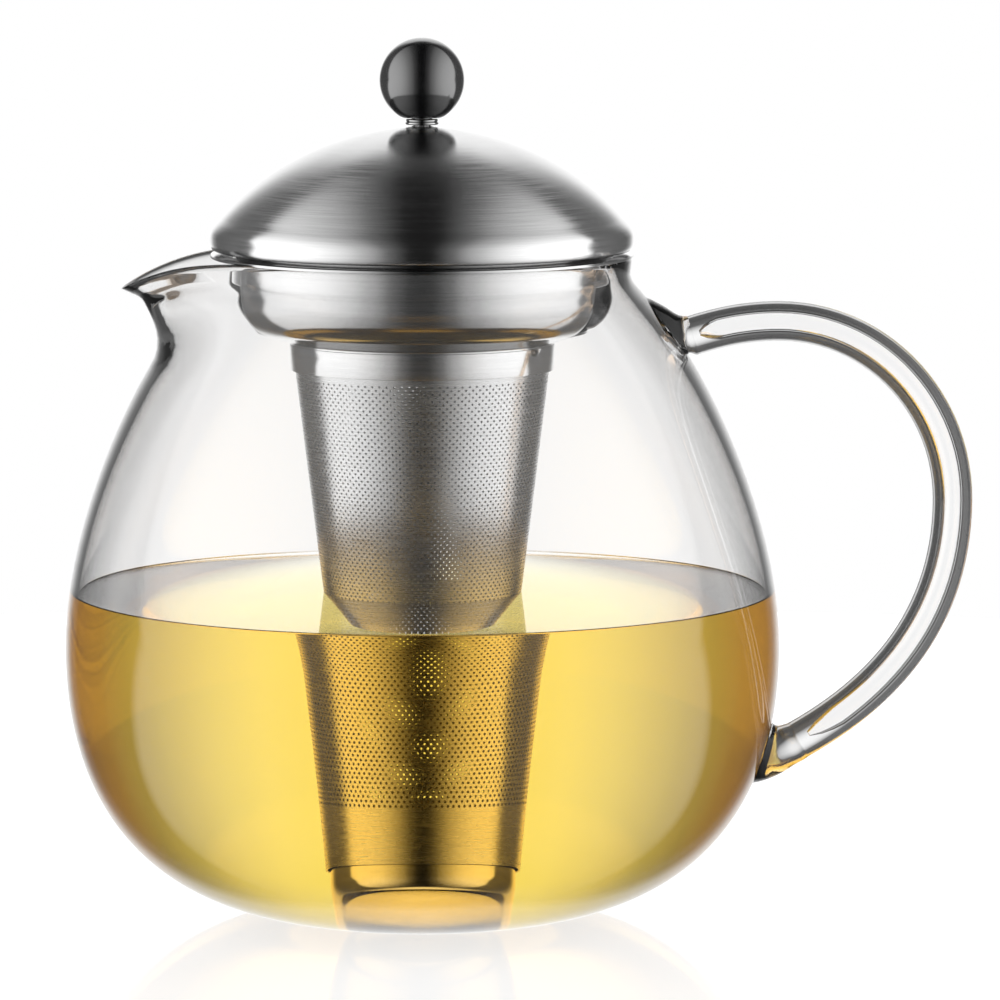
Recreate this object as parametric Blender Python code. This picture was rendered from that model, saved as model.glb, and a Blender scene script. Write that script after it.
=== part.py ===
"""Glass teapot with a lift-out steel infuser and a domed lid.

Metres, +Z up. The origin is the centre of the flat foot, on the pot's axis. The spout points
along -X and the handle along +X. At rest the infuser hangs by its flange on the glass rim,
and the lid sits on that flange.
"""

import math

import bmesh
import bpy
from mathutils import Matrix, Vector
from mathutils.geometry import interpolate_bezier

MM = 0.001
GAP = 0.3 * MM  # left between pieces that touch
AROUND = 48  # sides of the large turned pieces

# Pot
FOOT_RADIUS = 21.4 * MM
BELLY_RADIUS = 77.9 * MM
BELLY_Z = 58.8 * MM
NECK_RADIUS = 45.2 * MM
NECK_Z = 140.8 * MM
RIM_RADIUS = 45.5 * MM
RIM_Z = 144.5 * MM
GLASS_WALL = 2.2 * MM

# Spout, pulled out of the rim towards -X
SPOUT_TIP = 66.0 * MM
SPOUT_DROP = 7.2 * MM
SPOUT_ROOT_Z = 121.1 * MM
SPOUT_TIP_ROUND = 0.10  # radians of the rim that the tip's round takes up
DROP_ROOT_Z = 112.0 * MM

# Handle tube
TUBE_RADIUS = 4.35 * MM
TUBE_WALL = 2.6 * MM

# Infuser
FLANGE_RADIUS = 46.4 * MM
FLANGE_BOTTOM = RIM_Z + GAP
SHEET = 0.6 * MM
CUP_RADIUS = 41.4 * MM
CUP_NECK_RADIUS = 28.0 * MM
CUP_NECK_BOTTOM = 122.5 * MM
CUP_NECK_TOP = 126.0 * MM
CUP_SHOULDER_ROUND = 8.0 * MM
CUP_SHOULDER_Z = 135.8 * MM  # where the straight wall ends and the shoulder's round starts
CUP_LIP_ROUND = 0.5 * MM
WINDOW_TOP = 143.6 * MM
WINDOW_BOTTOM = 128.4 * MM
WINDOW_WIDTH = math.radians(36)
WINDOW_SPOUT_SIDE = math.radians(187)  # middle of each window, anticlockwise from +X
WINDOW_HANDLE_SIDE = math.radians(-12)
COLLAR_TOP = 125.2 * MM
COLLAR_BOTTOM = 119.9 * MM
COLLAR_RADIUS = 28.8 * MM
COLLAR_WALL = 0.45 * MM
COLLAR_TAPER = 0.25 * MM
SLEEVE_TOP = CUP_NECK_BOTTOM - GAP
SLEEVE_BOTTOM = 24.3 * MM
SLEEVE_TOP_RADIUS = 27.84 * MM
SLEEVE_BOTTOM_RADIUS = 15.8 * MM
SLEEVE_WALL = 0.4 * MM
CAP_BOTTOM = 21.0 * MM
CAP_TOP = 27.5 * MM
CAP_RADIUS = 15.05 * MM
CAP_EDGE = 2.0 * MM
CAP_WALL = 0.5 * MM

# Lid
FLANGE_TOP = FLANGE_BOTTOM + SHEET
DOME_SPHERE = 58.0 * MM
DOME_TOP = 172.5 * MM
DOME_RADIUS = 46.1 * MM
DOME_ROLL = 41.0  # degrees up the sphere where the edge starts to roll under
DOME_WALL = 0.7 * MM
DOME_EDGE_Z = FLANGE_TOP + 0.4 * MM
LINER_RIM_RADIUS = 44.6 * MM
LINER_RIM_Z = 146.7 * MM
LINER_RADIUS = 40.4 * MM
LINER_BOTTOM = 138.0 * MM
LINER_VENT = 1.2 * MM
LINER_EDGE = 1.0 * MM
LINER_WALL = 0.5 * MM

# Knob
BALL_RADIUS = 9.25 * MM
BALL_Z = 182.4 * MM
BALL_SEAT_Z = 174.35 * MM
FERRULE_RADIUS = 3.6 * MM
SCREW_RADIUS = 1.9 * MM
SCREW_HOLE = 2.3 * MM
SCREW_TOP = 181.5 * MM
SCREW_HEAD_TOP = 169.0 * MM
SCREW_HEAD_HEIGHT = 2.6 * MM
SCREW_HEAD_RADIUS = 3.8 * MM
SPRING_WASHER_RADIUS = 3.6 * MM
SPRING_WASHER_HEIGHT = 0.9 * MM
FLAT_WASHER_RADIUS = 4.5 * MM
FLAT_WASHER_HEIGHT = 0.8 * MM
INSERT_RADIUS = 3.0 * MM
INSERT_BOTTOM = BALL_SEAT_Z + GAP
INSERT_TOP = 183.0 * MM
BORE_TOP = INSERT_TOP + GAP


def clear_scene():
    for old in list(bpy.data.objects):
        bpy.data.objects.remove(old)


def material(name, colour, roughness, metallic=0.0, transmission=0.0, ior=1.5):
    made = bpy.data.materials.new(name)
    made.use_nodes = True
    shader = made.node_tree.nodes["Principled BSDF"]
    shader.inputs["Base Color"].default_value = (*colour, 1.0)
    shader.inputs["Roughness"].default_value = roughness
    shader.inputs["Metallic"].default_value = metallic
    shader.inputs["Transmission Weight"].default_value = transmission
    shader.inputs["IOR"].default_value = ior
    return made


def add_object(name, mesh, look):
    made = bpy.data.objects.new(name, mesh)
    bpy.context.scene.collection.objects.link(made)
    if look:
        mesh.materials.append(look)
    return made


def finish(name, bm, look, sharp=35):
    """The bmesh as a named object, shaded smooth except across sharp edges."""
    mesh = bpy.data.meshes.new(name)
    bm.to_mesh(mesh)
    bm.free()
    mesh.shade_smooth()
    mesh.set_sharp_from_angle(angle=math.radians(sharp))
    return add_object(name, mesh, look)


def hide_cutter(cutter):
    cutter.hide_render = True
    cutter.display_type = "WIRE"


def cut(target, cutter):
    hide_cutter(cutter)
    boolean = target.modifiers.new("cut by " + cutter.name, "BOOLEAN")
    boolean.operation = "DIFFERENCE"
    boolean.object = cutter


def curve_through(knots, counts):
    """(r, z) points along Bezier knots, each (handle in, point, handle out), with a count for each span."""
    points = [tuple(knots[0][1])]
    for count, (_, start, leave), (arrive, end, _) in zip(counts, knots, knots[1:]):
        span = [Vector(corner) for corner in (start, leave, arrive, end)]
        points += [tuple(point) for point in interpolate_bezier(*span, count)[1:]]
    return points


def arc(centre, radius, start, end, steps):
    """Points (r, z) along an arc, its angles in degrees from +r."""
    turned = []
    for i in range(steps + 1):
        angle = math.radians(start + (end - start) * i / steps)
        turned.append((centre[0] + radius * math.cos(angle), centre[1] + radius * math.sin(angle)))
    return turned


def spun(profile, sides, closed=False):
    """A bmesh of the (r, z) profile turned once round the Z axis."""
    bm = bmesh.new()
    verts = [bm.verts.new((r, 0, z)) for r, z in profile]
    pairs = list(zip(verts, verts[1:]))
    if closed:
        pairs.append((verts[-1], verts[0]))
    edges = [bm.edges.new(pair) for pair in pairs]
    bmesh.ops.spin(
        bm,
        geom=verts + edges,
        axis=(0, 0, 1),
        cent=(0, 0, 0),
        angle=math.tau,
        steps=sides,
        use_merge=True,
    )
    bmesh.ops.remove_doubles(bm, verts=bm.verts, dist=1e-7)
    return bm


def turned(name, profile, look, sides=AROUND, closed=False, sharp=35):
    """A solid turned from a profile that is closed, or that starts and ends on the axis."""
    bm = spun(profile, sides, closed)
    bmesh.ops.recalc_face_normals(bm, faces=bm.faces)
    return finish(name, bm, look, sharp)


def ring(inner, outer, bottom, top):
    """The closed profile of a plain ring."""
    return [(outer, top), (outer, bottom), (inner, bottom), (inner, top)]


def sheet(path, thickness):
    """The closed profile of a wall that lies on the left of the path as it is walked."""
    offset = []
    for i, point in enumerate(path):
        before = Vector(path[max(i - 1, 0)])
        after = Vector(path[min(i + 1, len(path) - 1)])
        here = Vector(point)
        first = (here - before).normalized() if i else (after - here).normalized()
        second = (after - here).normalized() if i < len(path) - 1 else first
        mitre = (first + second).normalized()
        normal = Vector((-mitre.y, mitre.x))
        offset.append(here + normal * thickness / mitre.dot(second))
    return [tuple(point) for point in path] + [tuple(point) for point in reversed(offset)]


# Pot ---------------------------------------------------------------------------------------


def pot_profile():
    """The pot's outer surface from the foot's edge up to the rim, as (r, z) points."""
    foot = (FOOT_RADIUS, 0)
    belly = (BELLY_RADIUS, BELLY_Z)
    shoulder = (56.5 * MM, 124.8 * MM)
    neck = (NECK_RADIUS, NECK_Z)
    knots = [
        (foot, foot, (50.0 * MM, 0)),
        ((BELLY_RADIUS, 15.3 * MM), belly, (BELLY_RADIUS, 85.0 * MM)),
        ((63.8 * MM, 114.1 * MM), shoulder, (47.4 * MM, 138.1 * MM)),
        ((NECK_RADIUS, 137.8 * MM), neck, neck),
    ]
    bead = [(RIM_RADIUS, 0.5 * (NECK_Z + RIM_Z)), (RIM_RADIUS, RIM_Z)]
    return curve_through(knots, (11, 6, 6)) + bead


def rim_reach(angle):
    """How far the rim is pulled out at this angle from -X: two tangents that meet at the tip."""
    half = SPOUT_TIP_ROUND + math.acos(RIM_RADIUS / SPOUT_TIP)
    rounded = math.hypot(angle, SPOUT_TIP_ROUND)
    if rounded >= half:
        return 0.0
    return RIM_RADIUS / math.cos(half - rounded) - RIM_RADIUS


def pull_spout(co):
    """Moves a point of the round pot to where it is on the pot with its spout."""
    if co.z <= DROP_ROOT_Z or co.xy.length < FOOT_RADIUS:
        return
    reach = rim_reach(math.atan2(co.y, -co.x))
    up = max(0.0, (co.z - SPOUT_ROOT_Z) / (RIM_Z - SPOUT_ROOT_Z))
    lean = up**1.6 * (1 + 0.9 * up * (1 - up))
    radius = co.xy.length
    co.xy *= (radius + reach * lean) / radius
    height = (co.z - DROP_ROOT_Z) / (RIM_Z - DROP_ROOT_Z)
    co.z -= SPOUT_DROP * (reach / (SPOUT_TIP - RIM_RADIUS)) ** 2 * height**3


def make_pot(look):
    bm = spun([(0, 0)] + pot_profile(), AROUND)
    for vert in bm.verts:
        pull_spout(vert.co)
    widest = max(bm.faces, key=lambda face: face.calc_center_median().xy.length)
    if widest.normal.dot(widest.calc_center_median()) < 0:
        bmesh.ops.reverse_faces(bm, faces=bm.faces)
    pot = finish("glass_body", bm, look)
    wall = pot.modifiers.new("wall", "SOLIDIFY")
    wall.thickness = GLASS_WALL
    wall.offset = -1
    wall.use_even_offset = True


def make_skin_cutter():
    """The pot's outer shape plus the gap, which trims the welds."""
    grown = [(r + GAP, z) for r, z in pot_profile()]
    profile = [(0, -GAP), (FOOT_RADIUS, -GAP)] + grown + [(0, RIM_Z)]
    return turned("skin_cutter", profile, None)


# Handle ------------------------------------------------------------------------------------

TUBE_START = Vector((58.9 * MM, 0, 127.0 * MM))
TUBE_END = Vector((82.1 * MM, 0, 38.1 * MM))


def handle_knots():
    """Bezier knots of the tube's middle line: handle in, point, handle out."""
    crown = Vector((77.5 * MM, 0, 130.1 * MM))
    back = Vector((115.5 * MM, 0, 91.0 * MM))
    return [
        (TUBE_START, TUBE_START, TUBE_START + Vector((6.0 * MM, 0, 1.9 * MM))),
        (crown - Vector((7.0 * MM, 0, 0)), crown, crown + Vector((21.0 * MM, 0, 0))),
        (back + Vector((0, 0, 21.6 * MM)), back, back - Vector((0, 0, 24.0 * MM))),
        (TUBE_END + Vector((20.9 * MM, 0, 11.9 * MM)), TUBE_END, TUBE_END),
    ]


def make_handle(look):
    curve = bpy.data.curves.new("glass_handle", "CURVE")
    curve.dimensions = "3D"
    curve.resolution_u = 9
    curve.bevel_depth = TUBE_RADIUS
    curve.bevel_resolution = 3
    curve.use_fill_caps = False
    curve.materials.append(look)
    spline = curve.splines.new("BEZIER")
    knots = handle_knots()
    spline.bezier_points.add(len(knots) - 1)
    for point, (arrive, co, leave) in zip(spline.bezier_points, knots):
        point.handle_left_type = "FREE"
        point.handle_right_type = "FREE"
        point.co = co
        point.handle_left = arrive
        point.handle_right = leave
    handle = bpy.data.objects.new("glass_handle", curve)
    bpy.context.scene.collection.objects.link(handle)
    wall = handle.modifiers.new("bore", "SOLIDIFY")
    wall.thickness = TUBE_WALL
    wall.offset = -1


def gather(name, rings, look):
    """Glass drawn out through rings of (x, z, tilt in degrees, half length, half width), all in mm."""
    sides = 20
    bm = bmesh.new()
    loops = []
    for x, z, tilt, half_length, half_width in rings:
        place = Matrix.Translation((x * MM, 0, z * MM))
        turn = Matrix.Rotation(math.radians(tilt), 4, "Y")
        size = Matrix.Diagonal((half_length * MM, half_width * MM, 1, 1))
        made = bmesh.ops.create_circle(bm, segments=sides, radius=1.0, matrix=place @ turn @ size)
        loops.append(made["verts"])
    for lower, upper in zip(loops, loops[1:]):
        edges = [e for e in bm.edges if all(v in lower or v in upper for v in e.verts)]
        bmesh.ops.bridge_loops(bm, edges=edges)
    bmesh.ops.holes_fill(bm, edges=bm.edges, sides=sides)
    bmesh.ops.recalc_face_normals(bm, faces=bm.faces)
    return finish(name, bm, look)


def make_welds(look, skin_cutter):
    top = gather(
        "handle_top_weld",
        [
            (58.6, 126.9, 72.4, 4.25, 4.25),
            (57.0, 127.3, 68, 4.6, 4.6),
            (55.0, 128.3, 61, 6.0, 5.4),
            (52.6, 128.3, 56, 8.6, 6.8),
            (50.6, 127.0, 56, 8.6, 6.8),
        ],
        look,
    )
    cut(top, skin_cutter)
    bottom = gather(
        "handle_bottom_weld",
        [
            (81.8, 37.9, 60.3, 4.25, 4.25),
            (79.2, 36.8, 68, 4.8, 4.8),
            (76.5, 36.2, 88, 6.3, 5.6),
            (73.8, 36.6, 104, 8.3, 7.0),
            (71.4, 37.2, 104, 8.3, 7.0),
        ],
        look,
    )
    cut(bottom, skin_cutter)


# Infuser -----------------------------------------------------------------------------------


def make_cup(look):
    """Flange, straight wall, rounded shoulder and shallow cone down to a short neck."""
    centre = (CUP_RADIUS - CUP_SHOULDER_ROUND, CUP_SHOULDER_Z)
    shoulder = arc(centre, CUP_SHOULDER_ROUND, 0, -60, 5)
    path = [
        (CUP_NECK_RADIUS, CUP_NECK_BOTTOM),
        (CUP_NECK_RADIUS, CUP_NECK_TOP),
        *reversed(shoulder),
        (CUP_RADIUS, FLANGE_BOTTOM - CUP_LIP_ROUND),
        (CUP_RADIUS + CUP_LIP_ROUND, FLANGE_BOTTOM),
        (FLANGE_RADIUS, FLANGE_BOTTOM),
    ]
    cup = turned("infuser_cup", sheet(path, SHEET), look, closed=True)
    cut(cup, window_cutter("spout_side_window_cutter", WINDOW_SPOUT_SIDE))
    cut(cup, window_cutter("handle_side_window_cutter", WINDOW_HANDLE_SIDE))


def window_cutter(name, middle):
    """A wedge that opens one window through the cup's wall and shoulder."""
    steps = 6
    inner, outer = 20.0 * MM, 52.0 * MM
    angles = [middle + WINDOW_WIDTH * (i / steps - 0.5) for i in range(steps + 1)]
    bm = bmesh.new()
    near = [bm.verts.new((inner * math.cos(a), inner * math.sin(a), WINDOW_BOTTOM)) for a in angles]
    far = [bm.verts.new((outer * math.cos(a), outer * math.sin(a), WINDOW_BOTTOM)) for a in angles]
    floor = bm.faces.new(near + far[::-1])
    risen = bmesh.ops.extrude_face_region(bm, geom=[floor])["geom"]
    top = [part for part in risen if isinstance(part, bmesh.types.BMVert)]
    bmesh.ops.translate(bm, verts=top, vec=(0, 0, WINDOW_TOP - WINDOW_BOTTOM))
    bmesh.ops.recalc_face_normals(bm, faces=bm.faces)
    return finish(name, bm, None)


def make_basket(look):
    """Collar band, tapered sleeve and pressed base cap."""
    lower = COLLAR_RADIUS - COLLAR_TAPER
    collar = [
        (COLLAR_RADIUS, COLLAR_TOP),
        (lower, COLLAR_BOTTOM),
        (lower - COLLAR_WALL, COLLAR_BOTTOM),
        (COLLAR_RADIUS - COLLAR_WALL, COLLAR_TOP),
    ]
    turned("infuser_collar", collar, look, closed=True)
    sleeve = [
        (SLEEVE_TOP_RADIUS, SLEEVE_TOP),
        (SLEEVE_BOTTOM_RADIUS, SLEEVE_BOTTOM),
        (SLEEVE_BOTTOM_RADIUS - SLEEVE_WALL, SLEEVE_BOTTOM),
        (SLEEVE_TOP_RADIUS - SLEEVE_WALL, SLEEVE_TOP),
    ]
    turned("infuser_sleeve", sleeve, look, closed=True)
    centre = (CAP_RADIUS - CAP_EDGE, CAP_BOTTOM + CAP_EDGE)
    inner = CAP_EDGE - CAP_WALL
    cap = [
        (0, CAP_BOTTOM),
        *arc(centre, CAP_EDGE, -90, 0, 3),
        (CAP_RADIUS, CAP_TOP),
        (CAP_RADIUS - CAP_WALL, CAP_TOP),
        *arc(centre, inner, 0, -90, 3),
        (0, CAP_BOTTOM + CAP_WALL),
    ]
    turned("infuser_base", cap, look)


# Lid ---------------------------------------------------------------------------------------


def make_dome(look):
    """A spherical cap whose edge rolls under, with the knob's hole in the middle."""
    crown = math.degrees(math.acos(SCREW_HOLE / DOME_SPHERE))
    cap = arc((0, DOME_TOP - DOME_SPHERE), DOME_SPHERE, crown, DOME_ROLL, 7)
    r, z = cap[-1]
    lip = (DOME_RADIUS - 1.1 * MM, DOME_EDGE_Z)
    roll = [
        ((r, z), (r, z), (r + 2.4 * MM, z - 2.3 * MM)),
        ((DOME_RADIUS, 149.2 * MM), (DOME_RADIUS, 147.8 * MM), (DOME_RADIUS, 146.9 * MM)),
        ((DOME_RADIUS - 0.3 * MM, DOME_EDGE_Z), lip, lip),
    ]
    path = cap + curve_through(roll, (4, 3))[1:]
    turned("lid_dome", sheet(path[::-1], DOME_WALL), look, closed=True)


def make_liner(look):
    """The pan that closes the lid from below and centres it in the cup."""
    path = [
        (LINER_VENT, LINER_BOTTOM),
        (LINER_RADIUS - LINER_EDGE, LINER_BOTTOM),
        (LINER_RADIUS, LINER_BOTTOM + LINER_EDGE),
        (LINER_RADIUS, LINER_RIM_Z),
        (LINER_RIM_RADIUS, LINER_RIM_Z),
    ]
    turned("lid_liner", sheet(path, LINER_WALL), look, closed=True)


def make_knob(plastic, chrome, steel, brass):
    seat = math.degrees(math.asin((BALL_SEAT_Z - BALL_Z) / BALL_RADIUS))
    bore = INSERT_RADIUS + GAP
    ball = [
        (0, BALL_Z + BALL_RADIUS),
        *arc((0, BALL_Z), BALL_RADIUS, 81, seat, 10),
        (bore, BALL_SEAT_Z),
        (bore, BORE_TOP),
        (0, BORE_TOP),
    ]
    turned("knob_ball", ball, plastic, sides=28, sharp=50)
    base = DOME_TOP + GAP
    top = BALL_SEAT_Z - GAP
    waist = 0.5 * (base + top)
    bead = 0.5 * (waist - base)
    ferrule = [
        (SCREW_HOLE, base),
        *arc((FERRULE_RADIUS - bead, base + bead), bead, -90, 60, 4),
        *arc((FERRULE_RADIUS - 1.3 * bead, top - bead), bead, -60, 90, 4),
        (SCREW_HOLE, top),
    ]
    turned("knob_ferrule", ferrule, chrome, sides=28, closed=True)
    head_bottom = SCREW_HEAD_TOP - SCREW_HEAD_HEIGHT
    screw = [
        (0, SCREW_TOP),
        (SCREW_RADIUS, SCREW_TOP),
        (SCREW_RADIUS, SCREW_HEAD_TOP),
        (SCREW_HEAD_RADIUS, SCREW_HEAD_TOP),
        (SCREW_HEAD_RADIUS, head_bottom + 0.9 * MM),
        (SCREW_HEAD_RADIUS - 0.8 * MM, head_bottom),
        (0, head_bottom),
    ]
    turned("knob_screw", screw, steel, sides=20)
    spring_bottom = SCREW_HEAD_TOP + GAP
    spring_top = spring_bottom + SPRING_WASHER_HEIGHT
    spring = ring(SCREW_HOLE, SPRING_WASHER_RADIUS, spring_bottom, spring_top)
    turned("spring_washer", spring, steel, 20, True)
    flat_bottom = spring_top + GAP
    flat = ring(SCREW_HOLE, FLAT_WASHER_RADIUS, flat_bottom, flat_bottom + FLAT_WASHER_HEIGHT)
    turned("flat_washer", flat, steel, 20, True)
    insert = ring(SCREW_RADIUS + GAP, INSERT_RADIUS, INSERT_BOTTOM, INSERT_TOP)
    turned("knob_insert", insert, brass, 20, True)


def main():
    clear_scene()
    glass = material("borosilicate glass", (0.96, 0.98, 0.98), 0.0, transmission=1.0, ior=1.47)
    brushed = material("brushed stainless steel", (0.66, 0.66, 0.67), 0.3, metallic=1.0)
    bright = material("polished stainless steel", (0.75, 0.75, 0.76), 0.12, metallic=1.0)
    phenolic = material("black phenolic", (0.008, 0.008, 0.008), 0.2)
    brass = material("brass", (0.76, 0.56, 0.25), 0.3, metallic=1.0)
    make_pot(glass)
    make_handle(glass)
    make_welds(glass, make_skin_cutter())
    make_cup(bright)
    make_basket(bright)
    make_dome(brushed)
    make_liner(bright)
    make_knob(phenolic, bright, bright, brass)


main()
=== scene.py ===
"""Glass teapot with a lift-out steel infuser: the fine meshes, the materials and the studio.

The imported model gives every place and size. Outlines are in millimetres, as (radius, height) from the pot's
axis and the table top. The spout points along -X and the handle along +X.
"""

import math

import bmesh
import bpy
from mathutils import Matrix, Vector
from mathutils.geometry import interpolate_bezier


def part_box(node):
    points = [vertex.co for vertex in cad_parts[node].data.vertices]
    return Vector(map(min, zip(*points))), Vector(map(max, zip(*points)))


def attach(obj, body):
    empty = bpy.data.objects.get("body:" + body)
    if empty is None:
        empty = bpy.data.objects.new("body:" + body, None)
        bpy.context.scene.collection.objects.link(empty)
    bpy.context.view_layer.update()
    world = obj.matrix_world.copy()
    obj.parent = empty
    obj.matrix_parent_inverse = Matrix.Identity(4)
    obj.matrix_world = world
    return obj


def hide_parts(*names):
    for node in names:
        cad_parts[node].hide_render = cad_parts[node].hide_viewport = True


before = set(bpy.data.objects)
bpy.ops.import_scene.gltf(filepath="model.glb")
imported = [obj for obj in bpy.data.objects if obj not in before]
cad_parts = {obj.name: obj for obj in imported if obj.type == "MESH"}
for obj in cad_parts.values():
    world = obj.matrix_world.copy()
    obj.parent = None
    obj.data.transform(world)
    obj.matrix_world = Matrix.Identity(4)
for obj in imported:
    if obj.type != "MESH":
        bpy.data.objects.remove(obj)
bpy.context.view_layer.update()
MM = 0.001


def edges_of(node):
    """A CAD node's greatest radius across Y, its lowest and its highest point, in millimetres."""
    low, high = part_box(node)
    return high.y / MM, low.z / MM, high.z / MM


# Driving sizes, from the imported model
BELLY_RADIUS, _, RIM_Z = edges_of("glass_body")
FLANGE_RADIUS, CUP_NECK_BOTTOM, FLANGE_TOP = edges_of("infuser_cup")
COLLAR_RADIUS, COLLAR_BOTTOM, COLLAR_TOP = edges_of("infuser_collar")
SLEEVE_TOP_RADIUS, SLEEVE_BOTTOM, SLEEVE_TOP = edges_of("infuser_sleeve")
CAP_RADIUS, CAP_BOTTOM, CAP_TOP = edges_of("infuser_base")
DOME_RADIUS, DOME_EDGE_Z, DOME_TOP = edges_of("lid_dome")
LINER_RIM_RADIUS, LINER_BOTTOM, LINER_TOP = edges_of("lid_liner")
BALL_RADIUS, BALL_SEAT_Z, BALL_TOP = edges_of("knob_ball")
FERRULE_RADIUS, FERRULE_BOTTOM, FERRULE_TOP = edges_of("knob_ferrule")
TUBE_RADIUS = edges_of("glass_handle")[0]
GAP = 0.3  # left between CAD solids that touch
BORE_TOP = edges_of("knob_insert")[2] + GAP
AROUND = 144  # sides of the large turned pieces
KNOB_AROUND = 96
SHARP_ANGLE = 32  # degrees past which an edge is shaded sharp

# Pot
FOOT_RADIUS = 21.4
BELLY_Z = 58.8
NECK_RADIUS = 45.2
NECK_Z = 140.8
RIM_RADIUS = 45.5
SPOUT_TIP = 66.0
SPOUT_DROP = 7.2
SPOUT_ROOT_Z = 121.1
DROP_ROOT_Z = 112.0
SPOUT_TIP_ROUND = 0.10  # radians of the rim that the tip's round takes up
SPOUT_LEAN = 1.6  # how late the pull sets in on the way up
SPOUT_BULGE = 0.9
LIP_ROUND = 1.4
THINNEST_WALL = 1.9
WALL_EXTRA = 0.9  # more glass in the foot and at the rim
UPPER_WALL_Z = 78.0  # where the wall starts to thicken towards the rim
UPPER_WALL_RISE = 62.0
FOOT_WALL_RISE = 26.0
TUBE_SIDES = 40
BORE_SIDES = 32
BORE_RADIUS = 1.75
BORE_CLOSED_SHARE = 0.05
BORE_CLOSING_POINTS = 3
GATHER_SIDES = 32
GATHER_DEPTH = 1.2  # how far a gather reaches into the wall
POT_NODES = ("glass_body", "glass_handle", "handle_top_weld", "handle_bottom_weld")

# Rings of each gather, from the tube into the wall: x, z, tilt in degrees, half length, half width
TOP_GATHER = [
    (60.2, 127.5, 72.4, 3.8, 3.8),
    (58.6, 126.95, 72.4, 4.4, 4.4),
    (57.0, 127.3, 68, 4.6, 4.6),
    (55.0, 128.3, 61, 6.0, 5.4),
    (52.6, 128.3, 56, 8.6, 6.8),
    (50.6, 127.0, 56, 8.6, 6.8),
]
BOTTOM_GATHER = [
    (83.6, 38.95, 60.3, 3.8, 3.8),
    (81.8, 37.9, 60.3, 4.4, 4.4),
    (79.2, 36.8, 68, 4.8, 4.8),
    (76.5, 36.2, 88, 6.3, 5.6),
    (73.8, 36.6, 104, 8.3, 7.0),
    (71.4, 37.2, 104, 8.3, 7.0),
]

# Tea
TEA_Z = 71.0
TEA_INTO_GLASS = 0.35  # how far the tea's mesh reaches into the wall, so that no air shows between them
MENISCUS_RISE = 0.7
MENISCUS_REACH = 1.0
MENISCUS_EDGE = 0.3  # how far under its highest level the meniscus leaves the wall's own points
SURFACE_POINTS = 22
SURFACE_STEP = 0.12  # from the wall to the surface's first points, each step longer than the last
SURFACE_GROWTH = 1.27

# Infuser
SHEET = 0.6
CUP_RADIUS = 41.4
CUP_NECK_RADIUS = 28.0
CUP_NECK_TOP = 125.4
CUP_NECK_FILLET = 1.0
CUP_SHOULDER_Z = 135.8
CUP_SHOULDER_ROUND = 8.0
CUP_WALL_TOP = 140.0
FLANGE_FILLET = 0.8
FLANGE_INSET = 0.5
BREAK_ANGLE = 50  # degrees past which an edge is broken
EDGE_BREAK = 0.1
WINDOW_TOP = 143.6
WINDOW_BOTTOM = 128.4
WINDOW_WIDTH = 36.0
WINDOW_MIDDLES = (187.0, -12.0)  # degrees anticlockwise from +X
SLEEVE_BOTTOM_RADIUS = 15.8
SLEEVE_WALL = 0.3
COLLAR_WALL = 0.45
COLLAR_TAPER = 0.25
COLLAR_BREAK = 0.12
CAP_WALL = 0.5
CAP_ROUND = 2.0
CAP_FLAT_RADIUS = 6.0
HOLES_AROUND = 105
HOLE_ROWS = 114
HOLES_TOP = 119.0
HOLES_BOTTOM = 32.4
CELL_HEIGHT = (HOLES_TOP - HOLES_BOTTOM) / (HOLE_ROWS // 2)
HOLE_RADIUS = 0.25
HOLE_INSET = 0.3  # from a diamond's edge to its hole's rough opening
CORNER_REACH = 0.45  # cells from a hole's middle, past which a point is a diamond's own corner

# Lid
DOME_SPHERE = 58.0
DOME_ROLL = 41.0  # degrees above level where the sphere ends and the rolled edge starts
DOME_HOLE_RADIUS = 2.3
DOME_WALL = 0.7
LINER_RADIUS = 40.4
LINER_HOLE_RADIUS = 1.2
LINER_FILLET = 1.0
LINER_STEP = 0.5
LINER_WALL = 0.5
BALL_BORE_RADIUS = 3.3
BALL_SEAT_BREAK = 0.1


# Shapes ------------------------------------------------------------------------------------


def curve_through(knots, counts):
    """Points along Bezier knots, each (handle in, point, handle out), with a count for each span."""
    points = [tuple(knots[0][1])]
    for count, (_, start, leave), (arrive, end, _) in zip(counts, knots, knots[1:]):
        span = [Vector(corner) for corner in (start, leave, arrive, end)]
        points += [tuple(point) for point in interpolate_bezier(*span, count)[1:]]
    return points


def arc(centre, radius, start, end, steps):
    """Points along an arc, its angles in degrees from +r."""
    angles = [math.radians(start + (end - start) * i / steps) for i in range(steps + 1)]
    return [(centre[0] + radius * math.cos(a), centre[1] + radius * math.sin(a)) for a in angles]


def offset(path, distance):
    """The path moved to its left by distance, a number or a function of height."""
    moved = []
    for i, point in enumerate(path):
        here = Vector(point)
        before = Vector(path[max(i - 1, 0)])
        after = Vector(path[min(i + 1, len(path) - 1)])
        first = (here - before).normalized() if i else (after - here).normalized()
        second = (after - here).normalized() if i < len(path) - 1 else first
        mitre = (first + second).normalized()
        step = distance(here.y) if callable(distance) else distance
        moved.append(tuple(here + Vector((-mitre.y, mitre.x)) * step / mitre.dot(second)))
    return moved


def sheet(path, thickness):
    """The closed outline of a sheet that lies on the left of the path."""
    return path + offset(path, thickness)[::-1]


def smoothstep(value):
    held = min(max(value, 0.0), 1.0)
    return held * held * (3 - 2 * held)


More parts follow.
